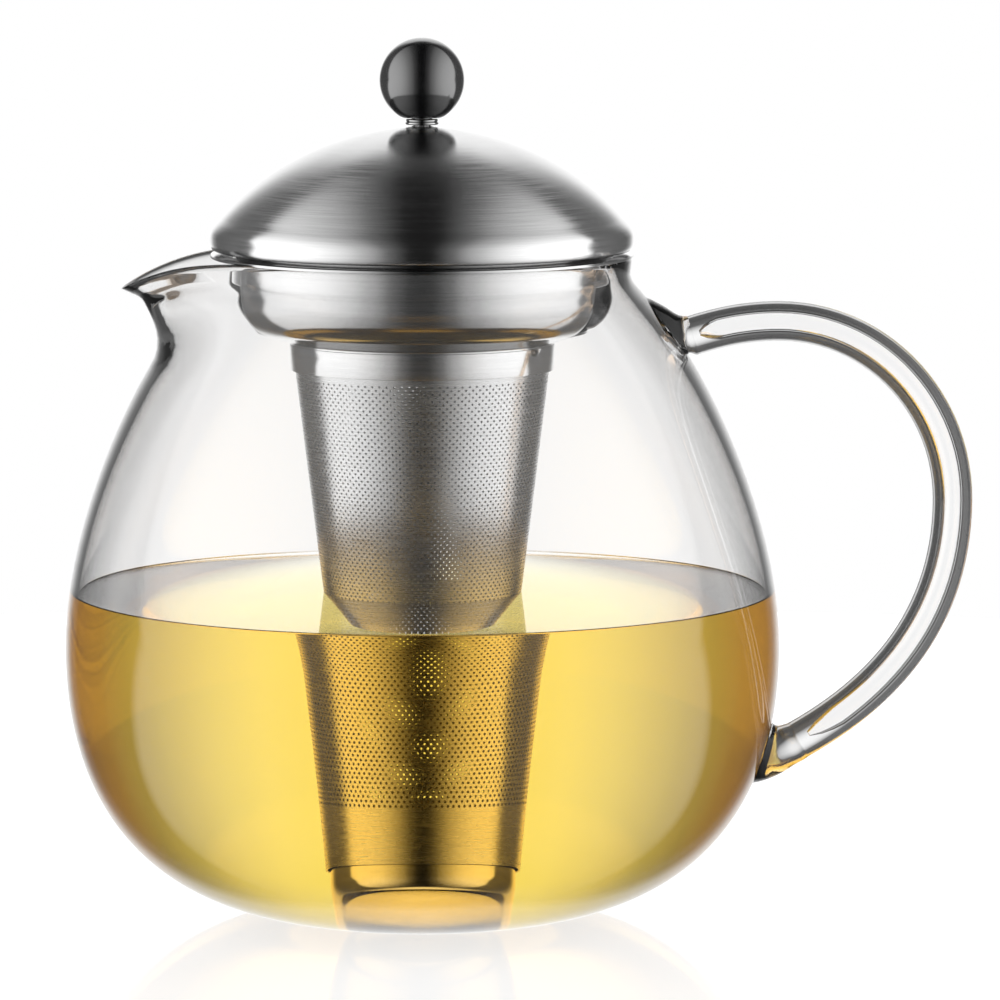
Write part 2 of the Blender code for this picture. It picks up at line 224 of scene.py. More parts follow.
def spun(outline, sides, closed):
    """A bmesh of the outline turned once round the Z axis, in metres, with its faces pointing out."""
    bm = bmesh.new()
    verts = [bm.verts.new((r * MM, 0, z * MM)) for r, z in outline]
    pairs = list(zip(verts, verts[1:]))
    if closed:
        pairs.append((verts[-1], verts[0]))
    edges = [bm.edges.new(pair) for pair in pairs]
    geom = verts + edges
    axis = (0, 0, 1)
    bmesh.ops.spin(bm, geom=geom, axis=axis, cent=(0, 0, 0), angle=math.tau, steps=sides, use_merge=True)
    bmesh.ops.remove_doubles(bm, verts=bm.verts, dist=1e-7)
    bmesh.ops.recalc_face_normals(bm, faces=bm.faces)
    return bm


def finished(name, bm, look, body, replaced, sharp=SHARP_ANGLE):
    """The bmesh as a smooth-shaded piece that rides on a body and stands for CAD nodes."""
    mesh = bpy.data.meshes.new(name)
    bm.to_mesh(mesh)
    bm.free()
    mesh.shade_smooth()
    mesh.set_sharp_from_angle(angle=math.radians(sharp))
    mesh.materials.append(look)
    piece = bpy.data.objects.new(name, mesh)
    bpy.context.scene.collection.objects.link(piece)
    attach(piece, body)
    if replaced:
        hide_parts(*replaced)
    return piece


def mesh_only(name, bm):
    """The bmesh as a helper object that a Boolean reads, and that is removed afterwards."""
    mesh = bpy.data.meshes.new(name)
    bm.to_mesh(mesh)
    bm.free()
    helper = bpy.data.objects.new(name, mesh)
    bpy.context.scene.collection.objects.link(helper)
    return helper


def combined(target, other, operation):
    """Applies a Boolean of other to target, and removes other."""
    boolean = target.modifiers.new(operation.lower(), "BOOLEAN")
    boolean.operation = operation
    boolean.object = other
    made = bpy.data.meshes.new_from_object(target.evaluated_get(bpy.context.evaluated_depsgraph_get()))
    target.modifiers.clear()
    target.data = made
    bpy.data.objects.remove(other)


# Pot ---------------------------------------------------------------------------------------


def pot_outside():
    """The pot's outer surface, from the middle of the foot up to just under the rim."""
    foot = (FOOT_RADIUS, 0.0)
    belly = (BELLY_RADIUS, BELLY_Z)
    shoulder = (56.5, 124.8)
    neck = (NECK_RADIUS, NECK_Z)
    knots = [
        (foot, foot, (50.0, 0.0)),
        ((BELLY_RADIUS, 15.3), belly, (BELLY_RADIUS, 85.0)),
        ((63.8, 114.1), shoulder, (47.4, 138.1)),
        ((NECK_RADIUS, 137.8), neck, neck),
    ]
    flat = [(FOOT_RADIUS * i / 5, 0.0) for i in range(5)]
    return flat + curve_through(knots, (36, 18, 16)) + [(RIM_RADIUS, RIM_Z - LIP_ROUND)]


def wall_at(height):
    """The blown wall: thick in the foot, thinnest at the belly and thicker again up to the rim."""
    upper = smoothstep((height - UPPER_WALL_Z) / UPPER_WALL_RISE)
    foot = smoothstep((FOOT_WALL_RISE - height) / FOOT_WALL_RISE)
    return THINNEST_WALL + WALL_EXTRA * upper + WALL_EXTRA * foot


def pot_inside(inset=0.0):
    """The pot's inner surface, from the foot up, moved out into the wall by inset."""
    return offset(pot_outside(), lambda height: wall_at(height) - inset)


def rim_reach(angle):
    """How far the rim is pulled out at this angle from -X: two tangents that meet in the rounded tip."""
    half = SPOUT_TIP_ROUND + math.acos(RIM_RADIUS / SPOUT_TIP)
    rounded = math.hypot(angle, SPOUT_TIP_ROUND)
    if rounded >= half:
        return 0.0
    return RIM_RADIUS / math.cos(half - rounded) - RIM_RADIUS


def pull_spout(co):
    """Moves a point of the round pot to where it is on the pot with its spout. co is in metres."""
    height = co.z / MM
    if height <= DROP_ROOT_Z or co.xy.length < FOOT_RADIUS * MM:
        return
    reach = rim_reach(math.atan2(co.y, -co.x))
    up = max(0.0, (height - SPOUT_ROOT_Z) / (RIM_Z - SPOUT_ROOT_Z))
    lean = up**SPOUT_LEAN * (1 + SPOUT_BULGE * up * (1 - up))
    radius = co.xy.length
    co.xy *= (radius + reach * lean * MM) / radius
    rise = (height - DROP_ROOT_Z) / (RIM_Z - DROP_ROOT_Z)
    co.z -= SPOUT_DROP * MM * (reach / (SPOUT_TIP - RIM_RADIUS)) ** 2 * rise**3


def handle_line():
    """Points along the middle of the handle tube, from its top end on the shoulder to its lower end."""
    start = (58.9, 127.0)
    crown = (77.5, 130.1)
    back = (115.5, 91.0)
    end = (82.1, 38.1)
    knots = [
        (start, start, (64.9, 128.9)),
        ((70.5, 130.1), crown, (98.5, 130.1)),
        ((115.5, 112.6), back, (115.5, 67.0)),
        ((103.0, 50.0), end, end),
    ]
    return [Vector((x, 0, z)) for x, z in curve_through(knots, (14, 26, 28))]


def tube(line, radii, sides):
    """A closed tube along the line, in metres, with a radius in millimetres for each of its points."""
    bm = bmesh.new()
    loops = []
    for i, (point, radius) in enumerate(zip(line, radii)):
        along = line[min(i + 1, len(line) - 1)] - line[max(i - 1, 0)]
        turn = along.to_track_quat("Z", "Y").to_matrix().to_4x4()
        place = Matrix.Translation(point * MM) @ turn
        circle = bmesh.ops.create_circle(bm, segments=sides, radius=radius * MM, matrix=place)
        loops.append(circle["verts"])
    return bridged(bm, loops)


def bridged(bm, loops):
    """Joins loops of vertices into one closed skin, capped at both ends."""
    for lower, upper in zip(loops, loops[1:]):
        pair = set(lower) | set(upper)
        edges = {edge for vert in pair for edge in vert.link_edges if pair.issuperset(edge.verts)}
        bmesh.ops.bridge_loops(bm, edges=list(edges))
    bmesh.ops.holes_fill(bm, edges=bm.edges, sides=0)
    bmesh.ops.recalc_face_normals(bm, faces=bm.faces)
    return bm


def gather(rings):
    """Hot glass drawn out between the tube's end and the wall, through rings of
    (x, z, tilt in degrees, half length, half width)."""
    bm = bmesh.new()
    loops = []
    for x, z, tilt, half_length, half_width in rings:
        place = Matrix.Translation((x * MM, 0, z * MM))
        turn = Matrix.Rotation(math.radians(tilt), 4, "Y")
        size = Matrix.Diagonal((half_length * MM, half_width * MM, 1, 1))
        oval = bmesh.ops.create_circle(bm, segments=GATHER_SIDES, radius=1, matrix=place @ turn @ size)
        loops.append(oval["verts"])
    return bridged(bm, loops)


def smooth_rings(rings, steps):
    """More rings between those given, on a smooth curve through each of their numbers."""
    made = []
    for i in range(len(rings) - 1):
        window = [rings[min(max(j, 0), len(rings) - 1)] for j in (i - 1, i, i + 1, i + 2)]
        for k in range(steps):
            t = k / steps
            before, after = -t + 2 * t**2 - t**3, t**3 - t**2
            weights = (before, 2 - 5 * t**2 + 3 * t**3, t + 4 * t**2 - 3 * t**3, after)
            made.append(tuple(0.5 * sum(w * r[n] for w, r in zip(weights, window)) for n in range(5)))
    return made + [rings[-1]]


def make_pot(glass):
    """Body, handle tube and the two gathers, fused into one piece of glass with the tube's bore inside."""
    outside = pot_outside()
    inside = pot_inside()[:-1]
    lip = arc((RIM_RADIUS - LIP_ROUND, RIM_Z - LIP_ROUND), LIP_ROUND, 0, 180, 10)[1:]
    body = mesh_only("pot", spun(outside + lip + inside[::-1], AROUND, closed=False))
    for vert in body.data.vertices:
        pull_spout(vert.co)
    line = handle_line()
    handle = mesh_only("tube", tube(line, [TUBE_RADIUS] * len(line), TUBE_SIDES))
    hollow = spun(offset(outside[:-1], GATHER_DEPTH) + [(0, NECK_Z)], AROUND, closed=False)
    hollow = mesh_only("hollow", hollow)
    for rings in (TOP_GATHER, BOTTOM_GATHER):
        weld = mesh_only("gather", gather(smooth_rings(rings, 5)))
        spare = mesh_only("hollow copy", bmesh_of(hollow))
        combined(weld, spare, "DIFFERENCE")
        combined(handle, weld, "UNION")
    bpy.data.objects.remove(hollow)
    combined(body, handle, "UNION")
    bm = bmesh_of(body)
    bpy.data.objects.remove(body)
    bmesh.ops.remove_doubles(bm, verts=bm.verts, dist=2e-6)
    add_bore(bm, line)
    return finished("glass_pot_and_handle", bm, glass, "pot", POT_NODES)


def bmesh_of(piece):
    bm = bmesh.new()
    bm.from_mesh(piece.data)
    return bm


def add_bore(bm, line):
    """The tube's own hollow: sealed at both ends where it was melted on, so its skin faces inwards."""
    inner = line[1:-1]
    last = len(inner) - 1
    radii = [BORE_RADIUS * min(1.0, bore_share(i), bore_share(last - i)) for i in range(len(inner))]
    bore = tube(inner, radii, BORE_SIDES)
    bmesh.ops.reverse_faces(bore, faces=bore.faces)
    mesh = bpy.data.meshes.new("bore")
    bore.to_mesh(mesh)
    bore.free()
    bm.from_mesh(mesh)
    bpy.data.meshes.remove(mesh)


def bore_share(points_away):
    """The share of its full radius that the bore has, this many points from a sealed end."""
    return (BORE_CLOSED_SHARE + points_away / BORE_CLOSING_POINTS) ** 0.5


def make_tea(look):
    """Tea up to its level, with the curved edge that it draws up the glass."""
    wetted = pot_inside(TEA_INTO_GLASS)
    below = [(r, z) for r, z in wetted if z < TEA_Z + MENISCUS_RISE - MENISCUS_EDGE]
    edge_radius = below[-1][0]
    surface = []
    for i in range(SURFACE_POINTS):
        away = SURFACE_STEP * SURFACE_GROWTH**i if i else 0.0
        from_wall = max(away - TEA_INTO_GLASS, 0)
        rise = MENISCUS_RISE * math.exp(-from_wall / MENISCUS_REACH)
        surface.append((edge_radius - away, TEA_Z + rise))
    outline = below + surface + [(0, TEA_Z)]
    bm = spun(outline, AROUND, closed=False)
    return finished("tea", bm, look, "pot", (), sharp=50)


# Infuser -----------------------------------------------------------------------------------


def make_cup(steel):
    """Rolled flange, straight wall, rounded shoulder and funnel, with two windows cut through the wall."""
    under = FLANGE_TOP - SHEET
    path = [
        (CUP_NECK_RADIUS, CUP_NECK_BOTTOM),
        (CUP_NECK_RADIUS, CUP_NECK_TOP),
        *arc((CUP_NECK_RADIUS + CUP_NECK_FILLET, CUP_NECK_TOP), CUP_NECK_FILLET, 180, 118, 4),
        *arc((CUP_RADIUS - CUP_SHOULDER_ROUND, CUP_SHOULDER_Z), CUP_SHOULDER_ROUND, -60, 0, 14),
        (CUP_RADIUS, CUP_WALL_TOP),
        *arc((CUP_RADIUS + FLANGE_FILLET, under - FLANGE_FILLET), FLANGE_FILLET, 180, 90, 5),
        (FLANGE_RADIUS - FLANGE_INSET, under),
    ]
    bm = spun(path, AROUND, closed=False)
    for middle in WINDOW_MIDDLES:
        for side in (-0.5, 0.5):
            angle = math.radians(middle + side * WINDOW_WIDTH)
            normal = (-math.sin(angle), math.cos(angle), 0)
            bisect(bm, (0, 0, 0), normal)
    for height in (WINDOW_BOTTOM, WINDOW_TOP):
        bisect(bm, (0, 0, height * MM), (0, 0, 1))
    opened = [face for face in bm.faces if in_window(face.calc_center_median())]
    bmesh.ops.delete(bm, geom=opened, context="FACES")
    outward(bm)
    cup = finished("infuser_cup_pressed", bm, steel, "infuser", ("infuser_cup",))
    thicken(cup, SHEET, EDGE_BREAK)


def bisect(bm, point, normal):
    geom = bm.verts[:] + bm.edges[:] + bm.faces[:]
    bmesh.ops.bisect_plane(bm, geom=geom, dist=1e-7, plane_co=point, plane_no=normal)


def in_window(co):
    if not WINDOW_BOTTOM * MM < co.z < WINDOW_TOP * MM:
        return False
    angle = math.degrees(math.atan2(co.y, co.x))
    turns = [(angle - middle + 180) % 360 - 180 for middle in WINDOW_MIDDLES]
    return min(abs(turn) for turn in turns) < WINDOW_WIDTH / 2


def thicken(piece, thickness, rounding):
    """Gives a sheet its thickness, in millimetres, behind its faces, and breaks its edges by rounding."""
    wall = piece.modifiers.new("sheet", "SOLIDIFY")
    wall.thickness = thickness * MM
    wall.offset = -1
    wall.use_even_offset = True
    if rounding:
        edge = piece.modifiers.new("broken edges", "BEVEL")
        edge.width = rounding * MM
        edge.segments = 2
        edge.limit_method = "ANGLE"
        edge.angle_limit = math.radians(BREAK_ANGLE)
        edge.harden_normals = False
    made = bpy.data.meshes.new_from_object(piece.evaluated_get(bpy.context.evaluated_depsgraph_get()))
    piece.modifiers.clear()
    piece.data = made
    made.set_sharp_from_angle(angle=math.radians(SHARP_ANGLE))


def cone_radius(height):
    """The sleeve's outer radius at a height."""
    share = (height - SLEEVE_BOTTOM) / (SLEEVE_TOP - SLEEVE_BOTTOM)
    return SLEEVE_BOTTOM_RADIUS + share * (SLEEVE_TOP_RADIUS - SLEEVE_BOTTOM_RADIUS)


def make_sleeve(steel):
    """The etched sheet in three bands, so that each stays a light mesh."""
    whole = perforated_tube()
    names = ("etched_sleeve_lower", "etched_sleeve_middle", "etched_sleeve_upper")
    rows = HOLE_ROWS // 2
    for band, name in enumerate(names):
        low = rows * band / len(names) if band else -rows
        high = rows * (band + 1) / len(names) if band < len(names) - 1 else 2 * rows
        bm = whole.copy()
        spare = [face for face in bm.faces if not low <= cell_row(face) < high]
        bmesh.ops.delete(bm, geom=spare, context="FACES")
        thicken(finished(name, bm, steel, "infuser", ("infuser_sleeve",)), SLEEVE_WALL, 0)
    whole.free()


def perforated_tube():
    """The sleeve's skin with its staggered round holes, two rows of holes to each row of square cells.

    A grid is rolled up and closed. Its cells are split to their middles and its own lines taken out again,
    which leaves one diamond for each hole. Each diamond is inset, opened and drawn out to a circle."""
    rows = HOLE_ROWS // 2
    bm = bmesh.new()
    bmesh.ops.create_grid(bm, x_segments=HOLES_AROUND, y_segments=rows, size=0.5)
    for vert in bm.verts:
        vert.co = on_sleeve((vert.co.x + 0.5) * HOLES_AROUND, (vert.co.y + 0.5) * rows)
    bmesh.ops.remove_doubles(bm, verts=bm.verts, dist=2e-6)
    lines = [edge for edge in bm.edges if len(edge.link_faces) == 2]
    bmesh.ops.poke(bm, faces=bm.faces)
    for vert in bm.verts:
        vert.co = on_sleeve(*in_cells(vert.co))
    bmesh.ops.dissolve_edges(bm, edges=lines, use_verts=False)
    diamonds = [face for face in bm.faces if len(face.verts) == 4]
    bmesh.ops.inset_individual(bm, faces=diamonds, thickness=HOLE_INSET * MM, use_even_offset=True)
    rims = {edge for face in diamonds for edge in face.edges}
    bmesh.ops.delete(bm, geom=diamonds, context="FACES_ONLY")
    bmesh.ops.subdivide_edges(bm, edges=list(rims), cuts=1)
    for vert in bm.verts:
        draw_to_circle(vert)
    for row, height in ((0, SLEEVE_BOTTOM), (rows, SLEEVE_TOP)):
        add_margin(bm, row, height)
    bmesh.ops.recalc_face_normals(bm, faces=bm.faces)
    outward(bm)
    return bm


def on_sleeve(around, up):
    """The place on the sleeve's cone of a point given in cells round it and cells up it."""
    angle = math.tau * around / HOLES_AROUND + math.pi / 2
    z = HOLES_BOTTOM + up * CELL_HEIGHT
    radius = cone_radius(z)
    return Vector((radius * math.cos(angle), radius * math.sin(angle), z)) * MM


def in_cells(co):
    """A point of the sleeve in cells round it and cells up it."""
    around = (math.atan2(co.y, co.x) - math.pi / 2) % math.tau / math.tau * HOLES_AROUND
    return around, (co.z / MM - HOLES_BOTTOM) / CELL_HEIGHT


def hole_middle(around, up):
    """The middle of the diamond that a point lies in, in cells."""
    rising = math.floor(around + up) + 0.5
    falling = math.floor(around - up) + 0.5
    return 0.5 * (rising + falling), 0.5 * (rising - falling)


def draw_to_circle(vert):
    """Moves a corner of a hole's rough opening onto its circle, and leaves the diamonds' own corners."""
    around, up = in_cells(vert.co)
    middle_around, middle_up = hole_middle(around, up)
    if abs(around - middle_around) + abs(up - middle_up) > CORNER_REACH:
        return
    pitch = math.tau * cone_radius(vert.co.z / MM) / HOLES_AROUND
    away = Vector(((around - middle_around) * pitch, (up - middle_up) * CELL_HEIGHT))
    away = away.normalized() * HOLE_RADIUS
    vert.co = on_sleeve(middle_around + away.x / pitch, middle_up + away.y / CELL_HEIGHT)


def cell_row(face):
    """How far up the sleeve, in cells, the middle of a face's diamond is."""
    return hole_middle(*in_cells(face.calc_center_median()))[1]


def add_margin(bm, row, height):
    """Carries the sleeve on, unpierced, from one end of its holes to a height."""
    edge_z = (HOLES_BOTTOM + row * CELL_HEIGHT) * MM
    edges = [edge for edge in bm.edges if all(abs(vert.co.z - edge_z) < 1e-7 for vert in edge.verts)]
    for vert in bmesh.ops.extrude_edge_only(bm, edges=edges)["geom"]:
        if isinstance(vert, bmesh.types.BMVert):
            around = in_cells(vert.co)[0]
            vert.co = on_sleeve(around, (height - HOLES_BOTTOM) / CELL_HEIGHT)


def make_basket_ends(steel):
    """Collar band round the sleeve's top, and the pressed cap that closes its bottom."""
    lower = COLLAR_RADIUS - COLLAR_TAPER
    collar = spun([(lower, COLLAR_BOTTOM), (COLLAR_RADIUS, COLLAR_TOP)], AROUND, closed=False)
    outward(collar)
    band = finished("collar_band", collar, steel, "infuser", ("infuser_collar",))
    thicken(band, COLLAR_WALL, COLLAR_BREAK)
    centre = (CAP_RADIUS - CAP_ROUND, CAP_BOTTOM + CAP_ROUND)
    flat = [(0, CAP_BOTTOM), (CAP_FLAT_RADIUS, CAP_BOTTOM)]
    cap = [*flat, *arc(centre, CAP_ROUND, -90, 0, 8), (CAP_RADIUS, CAP_TOP)]
    base = spun(cap, AROUND, closed=False)
    outward(base)
    piece = finished("pressed_base_cap", base, steel, "infuser", ("infuser_base",))
    thicken(piece, CAP_WALL, EDGE_BREAK)


def outward(bm):
    """Turns an open sheet of revolution so that its widest face looks away from the origin.

    A band or cone then faces away from its axis. The cup's widest face is its level flange, which then faces
    up, so the cup's walls face its axis and it is thickened outwards and down."""
    widest = max(bm.faces, key=lambda face: face.calc_center_median().xy.length)
    if widest.normal.dot(widest.calc_center_median()) < 0:
        bmesh.ops.reverse_faces(bm, faces=bm.faces)


# Lid ---------------------------------------------------------------------------------------


def make_lid(brushed, bright):
    """The domed cover with its rolled edge, and the pan that closes it from below."""
    crown = math.degrees(math.acos(DOME_HOLE_RADIUS / DOME_SPHERE))
    cap = arc((0, DOME_TOP - DOME_SPHERE), DOME_SPHERE, crown, DOME_ROLL, 44)
    r, z = cap[-1]
    lip = (DOME_RADIUS - 1.1, DOME_EDGE_Z)
    roll = [
        ((r, z), (r, z), (r + 2.4, z - 2.3)),
        ((DOME_RADIUS, 149.2), (DOME_RADIUS, 147.8), (DOME_RADIUS, 146.9)),
        ((DOME_RADIUS - 0.3, DOME_EDGE_Z), lip, lip),
    ]
    path = cap + curve_through(roll, (12, 8))[1:]
    dome = spun(sheet(path[::-1], DOME_WALL), AROUND, closed=True)
    finished("brushed_dome", dome, brushed, "lid", ("lid_dome",))
    pan = [
        (LINER_HOLE_RADIUS, LINER_BOTTOM),
        *arc((LINER_RADIUS - LINER_FILLET, LINER_BOTTOM + LINER_FILLET), LINER_FILLET, -90, 0, 5),
        (LINER_RADIUS, LINER_TOP - 2 * LINER_STEP),
        (LINER_RADIUS + LINER_STEP, LINER_TOP - LINER_STEP),
        (LINER_RIM_RADIUS, LINER_TOP - LINER_STEP),
    ]
    liner = spun(sheet(pan, LINER_WALL), AROUND, closed=True)
    finished("lid_pan", liner, bright, "lid", ("lid_liner",))


def make_knob(phenolic, chrome):
    """Moulded ball on a turned double-bead ferrule."""
    centre_z = BALL_TOP - BALL_RADIUS
    seat = math.degrees(math.asin((BALL_SEAT_Z - centre_z) / BALL_RADIUS))
    round_side = arc((0, centre_z), BALL_RADIUS, 90, seat, 40)
    seat_edge = (round_side[-1][0] - BALL_SEAT_BREAK, BALL_SEAT_Z)
    bore = [(BALL_BORE_RADIUS, BALL_SEAT_Z), (BALL_BORE_RADIUS, BORE_TOP), (0, BORE_TOP)]
    ball = spun([(0, BALL_TOP), *round_side[1:-1], seat_edge, *bore], KNOB_AROUND, closed=False)
    finished("phenolic_ball", ball, phenolic, "lid", ("knob_ball",), sharp=50)
    middle = 0.5 * (FERRULE_BOTTOM + FERRULE_TOP)
    bead = 0.5 * (middle - FERRULE_BOTTOM)
    ferrule = [
        (DOME_HOLE_RADIUS, FERRULE_BOTTOM),
        *arc((FERRULE_RADIUS - bead, FERRULE_BOTTOM + bead), bead, -90, 60, 10),
        *arc((FERRULE_RADIUS - 1.3 * bead, FERRULE_TOP - bead), bead, -60, 90, 10),
        (DOME_HOLE_RADIUS, FERRULE_TOP),
    ]
    beads = spun(ferrule, KNOB_AROUND, closed=True)
    finished("turned_ferrule", beads, chrome, "lid", ("knob_ferrule",))


# Materials ---------------------------------------------------------------------------------


def linear(hex_colour):
    """An sRGB hex colour as linear RGBA."""
    parts = [int(hex_colour[i : i + 2], 16) / 255 for i in (1, 3, 5)]
    return (*(v / 12.92 if v <= 0.04045 else ((v + 0.055) / 1.055) ** 2.4 for v in parts), 1.0)


def add(tree, kind, inputs, stops=(), **settings):
    """Adds one node. settings are its own properties, and inputs are values or sockets by name or place.
    stops are a ramp's (place, level) pairs in rising order, where a level is a grey or an RGB."""
    made = tree.nodes.new(kind)
    for name, value in settings.items():
        setattr(made, name, value)
    for name, value in inputs.items():
        if isinstance(value, bpy.types.NodeSocket):
            tree.links.new(value, made.inputs[name])
        else:
            made.inputs[name].default_value = value
    for place, _ in stops[1:-1]:
        made.color_ramp.elements.new(place)
    for i, (place, level) in enumerate(stops):
        made.color_ramp.elements[i].position = place
        made.color_ramp.elements[i].color = (*(level if isinstance(level, tuple) else (level,) * 3), 1.0)
    return made


def new_material(name, **shader):
    """A material with a Principled shader whose constant values are given by socket name."""
    made = bpy.data.materials.new(name)
    made.use_nodes = True
    principled = made.node_tree.nodes["Principled BSDF"]
    for socket, value in shader.items():
        principled.inputs[socket.replace("_", " ")].default_value = value
    return made, made.node_tree, principled


def turned_coordinates(tree):
    """Object coordinates as (radius, angle, height), in millimetres and radians."""
    place = add(tree, "ShaderNodeTexCoord", {}).outputs["Object"]
    parts = add(tree, "ShaderNodeSeparateXYZ", {0: place})
    flat = add(tree, "ShaderNodeVectorMath", {0: place, 1: (1, 1, 0)}, operation="MULTIPLY")
    length = add(tree, "ShaderNodeVectorMath", {0: flat.outputs[0]}, operation="LENGTH")
    angle = add(tree, "ShaderNodeMath", {0: parts.outputs["Y"], 1: parts.outputs["X"]}, operation="ARCTAN2")
    radius = add(tree, "ShaderNodeMath", {0: length.outputs["Value"], 1: 1000.0}, operation="MULTIPLY")
    height = add(tree, "ShaderNodeMath", {0: parts.outputs["Z"], 1: 1000.0}, operation="MULTIPLY")
    return radius.outputs[0], angle.outputs[0], height.outputs[0]


def grain_along(tree, radius, angle, height, pitch, breaks):
    """Fine lines that run round the axis: pitch is their spacing in mm, and more breaks make them shorter."""
    across = add(tree, "ShaderNodeMath", {0: radius, 1: height}, operation="SUBTRACT")
    rate = add(tree, "ShaderNodeMath", {0: across.outputs[0], 1: 1 / pitch}, operation="MULTIPLY")
    slow = add(tree, "ShaderNodeMath", {0: angle, 1: breaks}, operation="MULTIPLY")
    where = add(tree, "ShaderNodeCombineXYZ", {0: rate.outputs[0], 1: slow.outputs[0]})
    noise = {"Vector": where.outputs[0], "Scale": 1.0, "Detail": 3.0}
    return add(tree, "ShaderNodeTexNoise", noise).outputs["Fac"]


def set_roughness(tree, shader, noise, low, high):
    """Lets the roughness run from low to high with the noise, over the stretch where most noise lies."""
    spread = {"Value": noise, "From Min": 0.3, "From Max": 0.7, "To Min": low, "To Max": high}
    made = add(tree, "ShaderNodeMapRange", spread)
    tree.links.new(made.outputs["Result"], shader.inputs["Roughness"])


def worked_metal(name, pale, dark, roughness, pitch, breaks, depth, anisotropy=0.0):
    """A metal whose working marks run round the axis, paler on their tops and darker in their bottoms: the
    darker bottoms are painted shade in the grooves, laid over the bump's own shading.
    """
    made, tree, shader = new_material(name, Metallic=1.0, Anisotropic=anisotropy, Anisotropic_Rotation=0.25)
    radius, angle, height = turned_coordinates(tree)
    lines = grain_along(tree, radius, angle, height, pitch, breaks)
    # painted shade: the noise that raises the marks' bump also darkens the base colour where the marks are
    # low
    tint = add(tree, "ShaderNodeMix", {0: lines, 6: linear(dark), 7: linear(pale)}, data_type="RGBA")
    tree.links.new(tint.outputs[2], shader.inputs["Base Color"])
    set_roughness(tree, shader, lines, roughness * 0.75, roughness * 1.25)
    bump = add(tree, "ShaderNodeBump", {"Height": lines, "Strength": depth, "Distance": 0.02 * MM})
    tree.links.new(bump.outputs["Normal"], shader.inputs["Normal"])
    if anisotropy:
        tangent = add(tree, "ShaderNodeTangent", {}, direction_type="RADIAL", axis="Z")
        tree.links.new(tangent.outputs["Tangent"], shader.inputs["Tangent"])
    return made


def rolled_steel():
    """Stainless sheet, cold rolled and pressed: clear, bright reflections, slightly softened."""
    # the marks' top colour, then the darker colour of their bottoms, which is painted groove shade
    colours = ("#E6E6E6", "#D8D8D8")
    return worked_metal("rolled stainless steel", *colours, 0.12, pitch=0.5, breaks=1.5, depth=0.15)


def etched_steel():
    """Stainless foil, photo-etched with its holes: a satin sheen that softens every reflection."""
    # the marks' top colour, then the darker colour of their bottoms, which is painted groove shade
    colours = ("#E2E2E2", "#D0D0D0")
    return worked_metal("etched stainless steel sheet", *colours, 0.26, pitch=0.4, breaks=3.0, depth=0.1)


def brushed_steel():
    """Stainless dome, brushed as it spins: fine rings, and highlights fanned out across them. The rings are
    drawn coarser than a real brush leaves them, so that they show."""
    # the rings' top colour, then the darker colour of their bottoms, which is painted groove shade
    colours = ("#F4F4F4", "#DCDCDC")
    marks = {"pitch": 0.42, "breaks": 2.2, "depth": 0.4, "anisotropy": 0.9}
    return worked_metal("brushed stainless steel", *colours, 0.20, **marks)


def polished_steel():
    """Stainless bar, turned and buffed: small, hard highlights on both beads."""
    # the marks' top colour, then the darker colour of their bottoms, which is painted groove shade
    colours = ("#E2E2E2", "#D2D2D2")
    return worked_metal("polished stainless steel", *colours, 0.06, pitch=0.2, breaks=1.0, depth=0.05)


def headed_steel():
    """Stainless wire, cold headed into fasteners and left as it is: dull grey."""
    # the marks' top colour, then the darker colour of their bottoms, which is painted groove shade
    colours = ("#B4B4B4", "#8C8C8C")
    return worked_metal("cold-headed stainless steel", *colours, 0.32, pitch=0.3, breaks=2.0, depth=0.3)


def blown_glass():
    """Borosilicate glass, blown and fire-polished: clear, with the faintest waviness in its surface."""
    made, tree, shader = new_material(
        "blown borosilicate glass", Transmission_Weight=1.0, Roughness=0.0, IOR=1.47
    )
    place = add(tree, "ShaderNodeTexCoord", {}).outputs["Object"]
    wave = add(tree, "ShaderNodeTexNoise", {"Vector": place, "Scale": 1 / (28 * MM), "Detail": 1.0})
    waviness = {"Height": wave.outputs["Fac"], "Strength": 0.2, "Distance": 0.12 * MM}
    bump = add(tree, "ShaderNodeBump", waviness)
    tree.links.new(bump.outputs["Normal"], shader.inputs["Normal"])
    shader.inputs["Base Color"].default_value = linear("#FFFFFF")
    return made


def green_tea():
    """Brewed green tea: a clear yellow infusion that deepens with the light's way through it."""
    no_gloss = (0.0, 0.0, 0.0, 1.0)
    made, tree, shader = new_material(
        "brewed green tea", Transmission_Weight=1.0, Roughness=0.0, IOR=1.33, Specular_Tint=no_gloss
    )
    place = add(tree, "ShaderNodeTexCoord", {}).outputs["Object"]
    ripple = add(tree, "ShaderNodeTexNoise", {"Vector": place, "Scale": 1 / (22 * MM), "Detail": 2.0})
    ripples = {"Height": ripple.outputs["Fac"], "Strength": 0.08, "Distance": 0.3 * MM}
    bump = add(tree, "ShaderNodeBump", ripples)
    tree.links.new(bump.outputs["Normal"], shader.inputs["Normal"])
    absorbed = add(tree, "ShaderNodeVolumeAbsorption", {"Color": (0.993, 0.855, 0.0, 1.0), "Density": 16.1})
    output = next(node for node in tree.nodes if node.type == "OUTPUT_MATERIAL")
    tree.links.new(absorbed.outputs["Volume"], output.inputs["Volume"])
    return made


